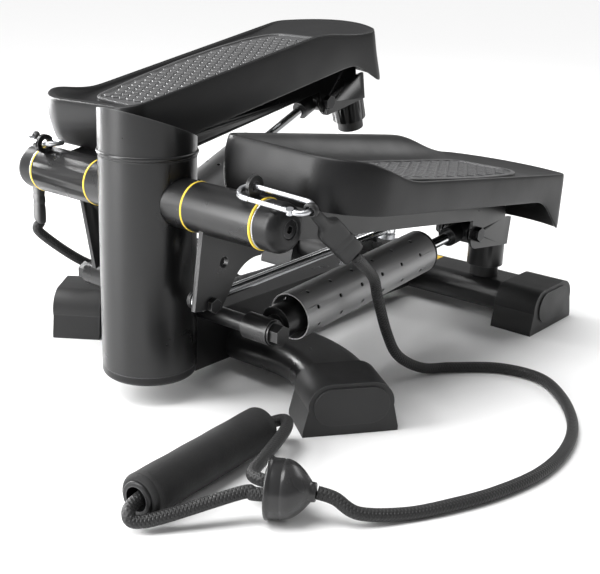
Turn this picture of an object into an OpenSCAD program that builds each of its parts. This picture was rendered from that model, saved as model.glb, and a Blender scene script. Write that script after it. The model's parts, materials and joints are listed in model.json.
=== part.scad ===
// Twin-pedal stepper: a column on two floor bars, two pedals that hinge on a
// cross axle, a hydraulic damper under each pedal, a rocker that makes one
// pedal rise as the other goes down, and a pull cord with a grip on each side.
// Origin: on the floor under the column's axis. +Z up, +X to the user's left,
// -Y the column side, +Y the rear.

/* [Column] */
// Outer diameter of the column tube
column_d = 76; // [74:1:78]
// Height of the underside of the column above the floor
column_foot_z = 18; // [14:1:20]
// Height of the seam between the column tube and the console
seam_z = 198; // [194:1:202]

/* [Pedal motion] */
// Height of the pedal axle
pivot_z = 165; // [163:1:167]
// Pitch of a pedal at the bottom of its stroke, in degrees
tilt_low = -7.2; // [-7.6:0.1:-6.8]
// Angle a pedal turns through in one full step
step_angle = 18; // [14:1:18]
// Distance of each pedal arm and damper from the middle plane
arm_x = 96; // [95:1:97]

/* [Pedal tray] */
// Inner edge of the tray, from the middle plane
tray_in = 40; // [39:1:42]
// Outer edge of the tray, from the middle plane
tray_out = 176; // [170:1:180]
// Front edge of the tray, from the axle
tray_front = 26; // [24:1:28]
// Rear edge of the tray, from the axle
tray_rear = 391; // [389:1:392]

/* [Floor frame] */
// Width of the flat-oval floor bars
bar_w = 60; // [58:1:62]
// Height of the flat-oval floor bars
bar_h = 30; // [28:1:32]
// Distance of the front bar's middle behind the column's axis
front_bar_y = 100; // [98:1:104]
// Distance of the rear bar behind the column's axis
rear_bar_y = 376.5; // [374:0.5:379]

/* [Pull cords] */
// Diameter of the braided cord
cord_d = 9; // [8:0.5:9]
// Diameter of the foam grip
grip_d = 32; // [30:1:33]

/* [Hidden] */

$fn = 96;
left = 1;
right = -1;
wall = 3;
run = 0.05;   // radial clearance of a running fit
seat = 0.02;  // radial clearance of a fixed fit
far = 400;    // larger than any cut needs

// Colours
paint = "#26272a";
plastic = "#2e2f31";
rubber = "#151515";
steel = "#b9bcc0";
cover_grey = "#6f7276";
ring_yellow = "#e8c23a";
cord_black = "#1b1b1c";

// Column and console
column_r = column_d / 2;
column_in_r = column_r - wall;
cap_h = 8;
column_z = column_foot_z + cap_h;
plug_h = 12;
console_front_z = seam_z + 37;
console_rear_z = seam_z + 8;
console_slant = atan((console_front_z - console_rear_z) / column_d);
console_mid_z = (console_front_z + console_rear_z) / 2;
collar_h = 2;
collar_r = column_r + 0.8;
window = [44, 26, 1.5];
window_y = -7;
button_y = 21;
button_r = 4.9;
button_travel = 1.1;
board = [40, 48, 1.6];
board_y = 3;
board_z = -9;

// Axle, from the middle plane outwards
axle_r = 19;
shaft_r = 12.5;
stub_x = 53.25;
flange_t = 2;
sleeve_x0 = stub_x + flange_t;
sleeve_x1 = 120.4;
washer_x = sleeve_x1 + flange_t + 0.1;
washer_t = 1.5;
cap_x = washer_x + washer_t;
cap_len = 20;
bush_r = 16;
bush_len = 24;
end_bolt_r = 4;
end_head_r = 6.5;

// Pedal arm, in the pedal's own frame: u to the rear, w up, axle at 0, 0
arm_w = 36;
arm_low = -17;
arm_top = 10.5;
arm_end = 376;
arm_wall = 2.5;
bracket_u0 = 313;
bracket_u1 = 389;
bracket_low = -45;
bracket_t = 3;
pin_u = 323.7;
pin_w = -30.6;
pin_r = 5;
lever_x = 68;
lever_t = 4;
lever_front = -11.5;
lever_low = -76;
lever_pin_u = 7;
lever_pin_w = -72.5;
lug_r = 8;
lug_x = 112;
lug_t = 3;
lug_u = -6;
lug_w = 25.5;
bumper_y = 371;
bumper_gap = 0.3;
tread_t = 2.5;
floor_w = 33;
floor_t = 4;
rim_t = 5;
skirt_t = 3.2;

// Damper, in its own frame: pivot at 0, +Y along the rod
damper_y = 30;
damper_z = 70;
tube_r = 14;
bore_r = 12;
rod_r = 5;
cover_r = 19.5;
cover_t = 1.2;
cover_y0 = 31;
cover_y1 = 214;
gland_y = 206;
eye_r = 10.5;
hole_pitch = 29;
open_clear = 1.4;

// Rocker and links
rocker_y = 300;
rocker_z = 79;
rocker_t = 4;
rocker_half = 33;
link_x = 60;
link_z = rocker_z + rocker_t + 5.2;
link_r = 4.25;
link_pin_r = 3.5;
link_eye_hole = 6.3;
beam_w = 40;
beam_z0 = 12;
beam_z1 = 60;

// Floor bars
bar_z = 8.5 + bar_h / 2;
bend_r = 120;
bend_angle = 36.3;
bend_x = 60;
toe_len = 44.8;
foot_len = 43;
foot_h = 42;
foot_front_w = 76;
foot_rear_w = 85;
rear_half = 172;

// Pull cords
cord_r = cord_d / 2;
wire_r = 2;
hook_r = 8;
hook_len = 41;
grip_len = 132;
core_r = 12;
core_in_r = 8.5;
stopper_len = 32;
stopper_r = 21;

// ---------------------------------------------------------------- helpers

// World position of a point u, w on a pedal turned by tilt
function pedal_y(u, w, tilt) = u * cos(tilt) - w * sin(tilt);
function pedal_z(u, w, tilt) = pivot_z + u * sin(tilt) + w * cos(tilt);
function tilt_of(side) = side > 0 ? tilt_low : tilt_low + step_angle;

// Damper's length and pitch for a side at rest
function reach_y(side) = pedal_y(pin_u, pin_w, tilt_of(side)) - damper_y;
function reach_z(side) = pedal_z(pin_u, pin_w, tilt_of(side)) - damper_z;
function damper_len(side) = norm([reach_y(side), reach_z(side)]);
function damper_pitch(side) = atan2(reach_z(side), reach_y(side));

// Rocker's rest angle: half of the lever pins' offset along Y
function lever_y(side) = pedal_y(lever_pin_u, lever_pin_w, tilt_of(side));
function lever_z(side) = pedal_z(lever_pin_u, lever_pin_w, tilt_of(side));
rocker_rest = asin((lever_y(right) - lever_y(left)) / 2 / rocker_half);

// Smooth curve through points (Catmull-Rom), steps points per span
function knot(p, i) = p[max(0, min(len(p) - 1, i))];
function spline_at(a, b, c, d, t) =
    0.5 * (2 * b + (c - a) * t + (2 * a - 5 * b + 4 * c - d) * t * t
        + (3 * b - a - 3 * c + d) * t * t * t);
function spline(p, steps) = [
    for (i = [0 : len(p) - 2], k = [0 : steps - 1])
        spline_at(knot(p, i - 1), p[i], p[i + 1], knot(p, i + 2), k / steps),
    p[len(p) - 1],
];
function unit(v) = v / norm(v);
function ease(t) = t <= 0 ? 0 : t >= 1 ? 1 : t * t * (3 - 2 * t);

// Round cord of radius r along a list of points that never runs straight up
module sweep(path, r, sides = 10) {
    n = len(path);
    rings = [
        for (i = [0 : n - 1])
            let (
                ahead = unit(knot(path, i + 1) - knot(path, i - 1)),
                across = unit(cross(ahead, abs(ahead.z) > 0.9 ? [0, 1, 0] : [0, 0, 1])),
                up = cross(across, ahead)
            )
            [for (k = [0 : sides - 1])
                path[i] + r * (across * cos(360 * k / sides) + up * sin(360 * k / sides))],
    ];
    points = [for (ring = rings, p = ring) p];
    walls = [
        for (i = [0 : n - 2], k = [0 : sides - 1])
            let (m = (k + 1) % sides)
            [i * sides + k, i * sides + m, (i + 1) * sides + m, (i + 1) * sides + k],
    ];
    ends = [
        [for (k = [sides - 1 : -1 : 0]) k],
        [for (k = [0 : sides - 1]) (n - 1) * sides + k],
    ];
    polyhedron(points, concat(walls, ends));
}

module x_cyl(r, x0, x1) translate([x0, 0, 0]) rotate([0, 90, 0]) cylinder(r = r, h = x1 - x0);
module y_cyl(r, y0, y1) translate([0, y0, 0]) rotate([-90, 0, 0]) cylinder(r = r, h = y1 - y0);
module z_cyl(r, z0, z1) translate([0, 0, z0]) cylinder(r = r, h = z1 - z0);
module x_hex(r, x0, x1) translate([x0, 0, 0]) rotate([0, 90, 0]) cylinder(r = r, h = x1 - x0, $fn = 6);
module block(from, to) translate(from) cube(to - from);

// A piece drawn for the left side, put on either side
module on_side(side) {
    if (side > 0) children();
    else mirror([1, 0, 0]) children();
}
// A piece drawn in the pedal's own frame
module at_pedal(side) {
    on_side(side) translate([0, 0, pivot_z]) rotate([tilt_of(side), 0, 0]) children();
}
// A piece drawn in world position with its pedal at the bottom of its stroke
module in_low_pose() {
    rotate([-tilt_low, 0, 0]) translate([0, 0, -pivot_z]) children();
}
module at_damper(side) {
    on_side(side) translate([arm_x, damper_y, damper_z]) rotate([damper_pitch(side), 0, 0]) children();
}

// Flat oval, w wide and h high, about its centre
module oval(w, h) {
    square([w - h, h], center = true);
    for (s = [-1, 1])
        translate([s * (w - h) / 2, 0]) circle(r = h / 2);
}
// A bar of the current 2-D section along +X
module along_x(length) rotate([90, 0, 90]) linear_extrude(length) children();

// ---------------------------------------------------------------- column

module column() {
    color(paint)
        difference() {
            z_cyl(column_r, column_z, seam_z);
            z_cyl(column_in_r, column_z - 1, seam_z + 1);
            translate([0, 0, pivot_z]) x_cyl(axle_r + seat, -far, far);
            translate([0, damper_y, damper_z]) x_cyl(7 + seat, -far, far);
        }
}

// Bottom plug with a rounded lower edge
module column_base_cap() {
    edge = 4;
    color(plastic)
        rotate_extrude() {
            translate([0, column_foot_z]) square([column_r - edge, cap_h]);
            translate([0, column_foot_z + edge]) square([column_r, cap_h - edge]);
            translate([column_r - edge, column_foot_z + edge]) circle(r = edge);
            translate([0, column_z]) square([column_in_r - seat, plug_h]);
        }
}

// Frame on the console's slanted face: x across, y down the slope, z out
module on_console() {
    translate([0, 0, console_mid_z]) rotate([-console_slant, 0, 0]) children();
}
module below_console(depth) {
    difference() {
        children();
        on_console() block([-far, -far, -depth], [far, far, far]);
    }
}

// Slanted-top housing with its seam collar, hollow, open at the bottom
module console_housing() {
    color(paint) {
        difference() {
            union() {
                below_console(0) z_cyl(column_r, seam_z, console_front_z + 1);
                z_cyl(collar_r, seam_z, seam_z + collar_h);
                z_cyl(column_in_r - seat, seam_z - plug_h, seam_z);
            }
            below_console(wall) z_cyl(column_in_r - wall, seam_z - plug_h - 1, console_front_z);
            on_console() {
                translate([0, window_y, -window.z / 2])
                    cube(window + [0.1, 0.1, 0.01], center = true);
                translate([0, window_y, 0]) cube([window.x - 8, window.y - 8, 4 * wall], center = true);
                translate([0, button_y, 0]) cylinder(r = button_r + 0.1, h = 4 * wall, center = true);
            }
        }
        // Posts that hold the board
        on_console()
            for (sx = [-1, 1], sy = [-1, 1])
                translate([sx * 15, sy * 14 - 5, board_z + board.z + 0.05])
                    cylinder(r = 2.5, h = -board_z - wall - board.z);
    }
}

module display_window() {
    color("#0d1014")
        on_console()
            translate([0, window_y, -window.z / 2]) cube(window, center = true);
}

// Circuit board with the display cell and the button's switch
module console_board() {
    cell_h = -board_z - board.z - wall - 0.1;
    switch_h = 1.2;
    color("#2c5a3a")
        on_console() {
            difference() {
                translate([0, board_y, board_z + board.z / 2]) cube(board, center = true);
                for (sx = [-1, 1])
                    translate([sx * 15, -19, board_z - 1]) cylinder(r = 1.2, h = 4);
            }
            translate([0, window_y, board_z + board.z + cell_h / 2])
                cube([window.x - 10, window.y - 10, cell_h], center = true);
            translate([0, button_y, board_z + board.z]) cylinder(r = 3, h = switch_h);
        }
}

// Push button: its flange stops under the wall, its stem ends above the switch
module reset_button() {
    stem_low = board_z + board.z + 1.2 + button_travel + 0.1;
    color("#c8a62c")
        on_console()
            translate([0, button_y, 0]) {
                cylinder(r = button_r, h = 1.4);
                translate([0, 0, stem_low]) cylinder(r = button_r, h = -stem_low);
                translate([0, 0, stem_low]) cylinder(r = button_r + 1.5, h = -wall - 0.05 - stem_low);
            }
}

// ---------------------------------------------------------------- axle

// Welded cross axle: a thick stub each side of the column, a long thin shaft
module axle() {
    color(paint)
        translate([0, 0, pivot_z])
            difference() {
                union() {
                    x_cyl(axle_r, -stub_x, stub_x);
                    x_cyl(shaft_r, -cap_x, cap_x);
                }
                for (side = [left, right])
                    on_side(side) x_cyl(end_bolt_r + seat, cap_x - 26, cap_x + 1);
            }
}

module thrust_washers() {
    color(steel)
        translate([0, 0, pivot_z])
            for (side = [left, right])
                on_side(side)
                    difference() {
                        x_cyl(18.6, washer_x, cap_x);
                        x_cyl(shaft_r + seat, washer_x - 1, cap_x + 1);
                    }
}

// Domed end caps, each with a deep seat for its bolt head
module axle_end_caps() {
    edge = 9;
    cap_r = 18.5;
    color(plastic)
        translate([0, 0, pivot_z])
            for (side = [left, right])
                on_side(side)
                    difference() {
                        translate([cap_x, 0, 0]) rotate([0, 90, 0])
                            rotate_extrude() {
                                square([cap_r, cap_len - edge]);
                                square([cap_r - edge, cap_len]);
                                translate([cap_r - edge, cap_len - edge])
                                    intersection() {
                                        circle(r = edge);
                                        square(edge);
                                    }
                            }
                        x_cyl(end_bolt_r + 0.2, cap_x - 1, cap_x + cap_len + 1);
                        x_cyl(end_head_r + 0.5, cap_x + cap_len - 6, cap_x + cap_len + 1);
                    }
}

// Socket-head bolts
module axle_end_bolts() {
    seat_x = cap_x + cap_len - 6;
    color(steel)
        translate([0, 0, pivot_z])
            for (side = [left, right])
                on_side(side)
                    difference() {
                        union() {
                            x_cyl(end_head_r, seat_x, seat_x + 5);
                            x_cyl(end_bolt_r, cap_x - 24, seat_x);
                        }
                        x_hex(3.2, seat_x + 1.5, seat_x + 6);
                    }
}

// Cross shaft low in the column that carries both dampers
shaft_end_x = arm_x + 15.5;
eye_x0 = arm_x - 15.7;
eye_x1 = arm_x + 9.7;
module lower_shaft() {
    color(paint)
        translate([0, damper_y, damper_z]) {
            x_cyl(7, -eye_x0 + 0.3, eye_x0 - 0.3);
            x_cyl(5, -shaft_end_x, shaft_end_x);
        }
}

module shaft_nuts() {
    color(paint)
        translate([0, damper_y, damper_z])
            for (side = [left, right])
                on_side(side)
                    difference() {
                        union() {
                            x_cyl(9.5, eye_x1 + 0.3, eye_x1 + 1.8);
                            x_hex(8.2, eye_x1 + 1.8, eye_x1 + 9.8);
                        }
                        x_cyl(5 + seat, 0, shaft_end_x + 0.5);
                    }
}

// ---------------------------------------------------------------- floor frame

// Front bar: straight middle, then each end sweeps forward
module front_bar_solid(w, h, extra) {
    translate([-bend_x, front_bar_y, bar_z]) along_x(2 * bend_x) oval(w, h);
    for (side = [left, right])
        on_side(side) {
            translate([bend_x, front_bar_y - bend_r, bar_z]) rotate([0, 0, 90 - bend_angle])
                rotate_extrude(angle = bend_angle) translate([bend_r, 0]) oval(w, h);
            front_toe() along_x(toe_len + extra) oval(w, h);
        }
}
// Frame at the end of the front bar's bend, +X along the swept end
module front_toe() {
    translate([bend_x + bend_r * sin(bend_angle), front_bar_y - bend_r * (1 - cos(bend_angle)), bar_z])
        rotate([0, 0, -bend_angle]) children();
}
module front_crossbar() {
    color(paint)
        difference() {
            front_bar_solid(bar_w, bar_h, 0);
            front_bar_solid(bar_w - 2 * wall, bar_h - 2 * wall, 1);
        }
}

module rear_crossbar() {
    half = rear_half - 4;
    color(paint)
        translate([0, rear_bar_y, bar_z])
            difference() {
                translate([-half, 0, 0]) along_x(2 * half) oval(bar_w, bar_h);
                translate([-half - 1, 0, 0]) along_x(2 * half + 2) oval(bar_w - 2 * wall, bar_h - 2 * wall);
            }
}

// Foot shoe, +X outwards, its outer face at x = 0 and its sole on the floor
module foot(w) {
    shoulder = 8;
    top_h = foot_h - 6;
    difference() {
        translate([-foot_len, 0, 0])
            along_x(foot_len) {
                translate([0, foot_h - top_h / 2]) oval(w - shoulder, top_h);
                polygon([
                    [-w / 2, 0], [w / 2, 0], [w / 2, 4],
                    [(w - shoulder) / 2, foot_h / 2], [-(w - shoulder) / 2, foot_h / 2], [-w / 2, 4],
                ]);
            }
        translate([-foot_len - 1, 0, bar_z]) along_x(foot_len - 3) oval(bar_w + 2 * seat, bar_h + 2 * seat);
    }
    translate([0, 0, bar_z]) along_x(1.5) oval(bar_w, bar_h);
}
module front_feet() {
    color(rubber)
        for (side = [left, right])
            on_side(side)
                front_toe() translate([toe_len + 4, 0, -bar_z]) foot(foot_front_w);
}
module rear_feet() {
    color(rubber)
        for (side = [left, right])
            on_side(side)
                translate([rear_half, rear_bar_y, 0]) foot(foot_rear_w);
}

// Box beam from the column over the front bar to the rear bar, with the rocker's post
module main_beam() {
    skin = 3;
    rear = rear_bar_y - bar_w / 2 + 4;
    color(paint)
        difference() {
            union() {
                difference() {
                    block([-beam_w / 2, 20, beam_z0], [beam_w / 2, rear, beam_z1]);
                    block(
                        [-beam_w / 2 + skin, 0, beam_z0 + skin],
                        [beam_w / 2 - skin, rear + 1, beam_z1 - skin]);
                }
                block([-beam_w / 2, rocker_y - 12, beam_z1], [beam_w / 2, rocker_y + 12, beam_z1 + 12]);
                translate([0, rocker_y, 0]) z_cyl(10, beam_z1 + 12, rocker_z - 0.2);
            }
            z_cyl(column_r + seat, 0, 2 * beam_z1);
            translate([-far, front_bar_y, bar_z]) along_x(2 * far) oval(bar_w + 2 * seat, bar_h + 2 * seat);
            translate([-far, rear_bar_y, bar_z]) along_x(2 * far) oval(bar_w + 2 * seat, bar_h + 2 * seat);
            translate([0, rocker_y, 0]) z_cyl(5 + seat, beam_z1 - 4, rocker_z + 1);
        }
}

// Plain printed patch on top of the rear bar
module rear_label() {
    color(ring_yellow)
        block([-47, rear_bar_y, bar_z + bar_h / 2], [36, rear_bar_y + 14, bar_z + bar_h / 2 + 0.3]);
}

// ---------------------------------------------------------------- rocker and links

module rocker() {
    top = rocker_z + rocker_t;
    color(steel)
        translate([0, rocker_y, 0]) rotate([0, 0, -rocker_rest]) {
            difference() {
                translate([0, 0, rocker_z])
                    linear_extrude(rocker_t) {
                        oval(2 * rocker_half + 16, 16);
                        circle(r = 11);
                    }
                z_cyl(5 + run, rocker_z - 1, top + 1);
            }
            for (s = [-1, 1])
                translate([s * rocker_half, 0, 0]) {
                    z_cyl(link_pin_r, top, top + 10.6);
                    z_cyl(link_eye_hole + 1.2, top + 10.6, top + 12.6);
                }
        }
}

module rocker_bolt() {
    top = rocker_z + rocker_t + 0.2;
    color(steel)
        translate([0, rocker_y, 0]) {
            z_cyl(5, beam_z1 - 3, top);
            translate([0, 0, top]) cylinder(r = 8, h = 5, $fn = 6);
        }
}

// Link rod from a lever pin to the rocker: bored eye in front, loose eye behind
module link(side) {
    front = [link_x, lever_y(side), lever_z(side)];
    back = [
        rocker_half * cos(rocker_rest),
        rocker_y - side * rocker_half * sin(rocker_rest),
        link_z,
    ];
    run_v = back - front;
    yaw = atan2(-run_v.x, run_v.y);
    pitch = asin(run_v.z / norm(run_v));
    color(steel)
        on_side(side)
            difference() {
                union() {
                    translate(front) {
                        rotate([0, 0, yaw]) rotate([pitch, 0, 0]) y_cyl(link_r, 0, norm(run_v) - 6);
                        x_cyl(7, -4, 4);
                    }
                    translate(back) z_cyl(8.5, -2.5, 2.5);
                }
                translate(front) x_cyl(pin_r + run, -10, 10);
                translate(back) z_cyl(link_eye_hole, -10, 10);
            }
}

// ---------------------------------------------------------------- pedals

// Welded pedal arm: sleeve, box arm, crank lever, damper bracket, bumper cup, cord lug
module pedal_arm(side) {
    color(paint) at_pedal(side) {
        arm_sleeve();
        arm_box();
        arm_lever();
        arm_bracket();
        arm_cup();
        arm_lug();
    }
}
module arm_sleeve() {
    difference() {
        x_cyl(axle_r, sleeve_x0, sleeve_x1);
        x_cyl(bush_r + seat, 0, far);
    }
}
module arm_box() {
    x0 = arm_x - arm_w / 2;
    x1 = arm_x + arm_w / 2;
    difference() {
        block([x0, 0, arm_low], [x1, arm_end, arm_top]);
        block([x0 + arm_wall, 0, arm_low + arm_wall], [x1 - arm_wall, arm_end + 1, arm_top - arm_wall]);
        x_cyl(axle_r, 0, far);
        for (u = tray_bolt_u)
            translate([arm_x, u, 0]) z_cyl(3 + seat, arm_low - 1, arm_top + 1);
    }
}
// Lever plate under the sleeve, with a lightening hole and a hollow rear edge
module arm_lever() {
    hollow_r = 40;
    translate([lever_x, 0, 0])
        difference() {
            rotate([90, 0, 90])
                linear_extrude(lever_t)
                    difference() {
                        polygon([
                            [lever_front, 0], [lever_front, lever_low], [18, lever_low],
                            [25, -63], [62, -34], [62, arm_low], [30, 0],
                        ]);
                        translate([57, -70]) circle(r = hollow_r - 8);
                        translate([15, -40]) circle(r = 4.5);
                        translate([lever_pin_u, lever_pin_w]) circle(r = pin_r - 1 + seat);
                    }
            x_cyl(axle_r, -far, far);
        }
}
module arm_bracket() {
    r = 12; // rounding of the front lower corner
    for (x = [arm_x - arm_w / 2, arm_x + arm_w / 2 - bracket_t])
        translate([x, 0, 0])
            rotate([90, 0, 90])
                linear_extrude(bracket_t)
                    difference() {
                        union() {
                            translate([bracket_u0 + r, bracket_low])
                                square([bracket_u1 - bracket_u0 - r, arm_low - bracket_low]);
                            translate([bracket_u0, bracket_low + r])
                                square([bracket_u1 - bracket_u0, arm_low - bracket_low - r]);
                            translate([bracket_u0 + r, bracket_low + r]) circle(r = r);
                        }
                        translate([pin_u, pin_w]) circle(r = pin_r + seat);
                    }
    block([arm_x - arm_w / 2, bracket_u1 - 40, bracket_low],
        [arm_x + arm_w / 2, bracket_u1, bracket_low + bracket_t]);
}
// Steel cup below the bracket that holds the rubber bumper upright at the bottom of the stroke
module arm_cup() {
    difference() {
        in_low_pose()
            translate([arm_x, bumper_y, 0])
                difference() {
                    z_cyl(18, cup_z, cup_z + 40);
                    z_cyl(12 + seat, cup_z - 1, cup_z + 12);
                }
        block([0, 0, bracket_low], [far, 2 * far, far]);
    }
}
cup_z = 50;
module arm_lug() {
    difference() {
        translate([lug_x - lug_t / 2, lug_u, lug_w])
            difference() {
                x_cyl(lug_r, 0, lug_t);
                x_cyl(3.8, -1, lug_t + 1);
            }
        x_cyl(axle_r, 0, far);
    }
}

module pedal_bushes(side) {
    color(ring_yellow) at_pedal(side)
        difference() {
            union() {
                x_cyl(axle_r + 0.3, stub_x + 0.1, sleeve_x0);
                x_cyl(bush_r, sleeve_x0, sleeve_x0 + bush_len);
                x_cyl(bush_r, sleeve_x1 - bush_len, sleeve_x1);
                x_cyl(axle_r + 0.3, sleeve_x1, sleeve_x1 + flange_t);
            }
            x_cyl(shaft_r + run, 0, far);
        }
}

// Rubber bumper, its face level with the rear bar's top at the bottom of the stroke
module bumper(side) {
    face_z = bar_z + bar_h / 2 + bumper_gap;
    color(rubber) at_pedal(side) in_low_pose()
        translate([arm_x, bumper_y, 0]) {
            z_cyl(14, face_z, cup_z);
            z_cyl(12, cup_z, cup_z + 12);
        }
}

// Hex bolts: one through the bracket and the damper's eye, one through the lever and link
module pivot_bolts(side) {
    out_x = arm_x + arm_w / 2;
    in_x = arm_x - arm_w / 2;
    color(steel) at_pedal(side) {
        translate([0, pin_u, pin_w]) {
            x_cyl(pin_r, in_x - 1, out_x + 1);
            x_hex(7.2, out_x, out_x + 5);
            x_hex(7.2, in_x - 6, in_x);
        }
        translate([0, lever_pin_u, lever_pin_w]) {
            x_cyl(pin_r - 1, lever_x - 1, lever_x + lever_t + 1);
            x_cyl(pin_r, link_x - 5, lever_x);
            x_hex(6, lever_x + lever_t, lever_x + lever_t + 4);
            x_cyl(7.5, link_x - 8, link_x - 5);
        }
    }
}

// Screws from below through the arm into the tray's bosses
tray_bolt_u = [110, 270];
module tray_bolts(side) {
    color(steel) at_pedal(side)
        for (u = tray_bolt_u)
            translate([arm_x, u, 0]) {
                z_cyl(3, arm_low, floor_w - floor_t - 6);
                z_cyl(6, arm_low - 3, arm_low);
            }
}

// Tray outline: straight sides, a wide round outer toe and a heel that bows gently
heel_x = 108;      // centre of the heel's bow
heel_r = 105;
toe_in_r = 20;
toe_out_r = 48;
heel_corner_r = 20;
corner_steps = 8;
side_steps = 12;
tray_mid_x = (tray_in + tray_out) / 2;
tray_mid_u = (tray_front + tray_rear) / 2;

function arc_points(c, r, a0, a1, n) =
    [for (i = [0 : n]) let (a = a0 + (a1 - a0) * i / n) [c.x + r * cos(a), c.y + r * sin(a)]];
// Centre of a heel corner that touches the side at x and the heel's bow
function heel_corner(x, bow_u, r) = [x, bow_u + sqrt(pow(heel_r - r, 2) - pow(x - heel_x, 2))];
function bow_angle(c, bow_u) = atan2(c.y - bow_u, c.x - heel_x);
// Evenly spaced points strictly between two points
function between(p, q, n) = [for (i = [1 : n]) p + (q - p) * i / (n + 1)];

// Outline moved inwards: at the inner side, outer side, toe and heel
function tray_edge(inner, outer, toe, heel) =
    let (
        x0 = tray_in + inner,
        x1 = tray_out - outer,
        u0 = tray_front + toe,
        bow_u = tray_rear - heel - heel_r,
        r_in = max(toe_in_r - min(inner, toe), 4),
        r_out = max(toe_out_r - min(outer, toe), 6),
        r_heel = max(heel_corner_r - max(inner, outer, heel), 4),
        c_out = heel_corner(x1 - r_heel, bow_u, r_heel),
        c_in = heel_corner(x0 + r_heel, bow_u, r_heel),
        a_out = bow_angle(c_out, bow_u),
        a_in = bow_angle(c_in, bow_u)
    )
    concat(
        arc_points([x0 + r_in, u0 + r_in], r_in, 180, 270, corner_steps),
        arc_points([x1 - r_out, u0 + r_out], r_out, 270, 360, corner_steps),
        between([x1, u0 + r_out], [x1, c_out.y], side_steps),
        arc_points(c_out, r_heel, 0, a_out, corner_steps),
        between_angles([heel_x, bow_u], heel_r, a_out, a_in, corner_steps),
        arc_points(c_in, r_heel, a_in, 180, corner_steps),
        between([x0, c_in.y], [x0, u0 + r_in], side_steps)
    );
function between_angles(c, r, a0, a1, n) =
    [for (i = [1 : n]) let (a = a0 + (a1 - a0) * i / (n + 1)) [c.x + r * cos(a), c.y + r * sin(a)]];

// Height of the rim: high at the toe and along the inner side, low outside and at the heel
function rim_in(u) = 37.5 + 16.5 * (1 - ease((u - 265) / 95));
function rim_out(u) = 36.3 + 14 * (1 - ease((u - 40) / 66));
function rim_w(p) =
    let (across = ease((p.x - tray_in - 8) / (tray_out - tray_in - 16)))
    rim_in(p.y) * (1 - across) + rim_out(p.y) * across;
// Height of the skirt's lower edge: level, then down behind the heel
function skirt_w(p) = 11 - 27.5 * ease((p.y - 318) / 48);
function between_w(low, high, part) = low + (high - low) * part;

// One closed ring of the shell: an outline with a height for each of its points
function ring(outline, heights) = [for (k = [0 : len(outline) - 1]) [outline[k].x, outline[k].y, heights[k]]];

// Shell closed by a grid of rings: underside, skirt, face, rim, inner wall and floor
module tray_shell() {
    base = tray_edge(0, 0, 0, 0);
    n = len(base);
    rim = [for (p = base) rim_w(p)];
    skirt = [for (p = base) skirt_w(p)];
    face = [for (p = base) between_w(skirt_w(p), rim_w(p), 0.55)];
    brow = [for (p = base) between_w(skirt_w(p), rim_w(p), 0.85)];
    under_w = floor_w - floor_t;
    heel_flare = -5;
    rings = [
        ring(tray_edge(skirt_t + 3, skirt_t + 1, skirt_t + 2, skirt_t), [for (p = base) under_w]),
        ring(tray_edge(skirt_t + 1, skirt_t + 1, skirt_t + 1, skirt_t - 2),
            [for (w = skirt) min(w + 5, under_w - 6)]),
        ring(tray_edge(skirt_t + 2, skirt_t + 2, skirt_t + 3, skirt_t + heel_flare), skirt),
        ring(tray_edge(2, 2, 3, heel_flare), skirt),
        ring(tray_edge(0, 0, 0, 0), face),
        ring(tray_edge(0.2, 0.2, 1, 0.6), brow),
        ring(tray_edge(1.5, 1.5, 4, 2), rim),
        ring(tray_edge(rim_t - 1, rim_t - 1, 9, rim_t), [for (w = rim) w - 0.5]),
        ring(tray_edge(rim_t + 3, rim_t + 1.5, 14, 16), [for (w = rim) between_w(floor_w, w, 0.6)]),
        ring(tray_edge(18, rim_t + 2.5, 24, 36), [for (w = rim) between_w(floor_w, w, 0.2)]),
        ring(tray_edge(32, rim_t + 4, 38, 58), [for (p = base) floor_w]),
    ];
    last = len(rings) - 1;
    points = concat(
        [for (ring = rings, p = ring) p],
        [[tray_mid_x, tray_mid_u, under_w], [tray_mid_x, tray_mid_u, floor_w]]
    );
    under = len(rings) * n;
    walls = [
        for (r = [0 : last - 1], k = [0 : n - 1])
            let (m = (k + 1) % n)
            each [
                [r * n + k, (r + 1) * n + k, (r + 1) * n + m],
                [r * n + k, (r + 1) * n + m, r * n + m],
            ],
    ];
    bottom = [for (k = [0 : n - 1]) [under, k, (k + 1) % n]];
    top = [for (k = [0 : n - 1]) [under + 1, last * n + (k + 1) % n, last * n + k]];
    polyhedron(points, concat(walls, bottom, top));
}
// Bosses and cross ribs between the floor and the arm
module tray_ribs() {
    rib_top = floor_w - floor_t;
    for (u = concat(tray_bolt_u, [190, 340]))
        difference() {
            block([arm_x - 26, u - 7, arm_top], [arm_x + 40, u + 7, rib_top]);
            translate([arm_x, u, 0]) z_cyl(3 + seat, 0, rib_top - 5);
        }
}
module pedal_tray(side) {
    color(plastic) at_pedal(side) {
        tray_shell();
        tray_ribs();
    }
}

// Textured insert, shaped like a sole
module tread_pad(side) {
    round_r = 14;
    color("#3a3b3d") at_pedal(side)
        translate([0, 0, floor_w])
            linear_extrude(tread_t)
                offset(r = round_r, $fn = 48) offset(delta = -round_r)
                    polygon([
                        [75, 76], [152, 82], [161, 151], [165, 209],
                        [163, 258], [156, 301], [140, 326], [75, 326],
                    ]);
}

// ---------------------------------------------------------------- dampers

module damper_tube(side) {
    x0 = eye_x0 - arm_x;
    x1 = eye_x1 - arm_x;
    color(paint) at_damper(side)
        difference() {
            union() {
                x_cyl(eye_r, x0, x1);
                y_cyl(8, 0, 14);
                y_cyl(tube_r, 14, gland_y);
                y_cyl(cover_r - cover_t - seat, 60, 65);
            }
            x_cyl(5 + run, x0 - 1, x1 + 1);
            y_cyl(bore_r, 20, gland_y + 1);
        }
}

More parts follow.
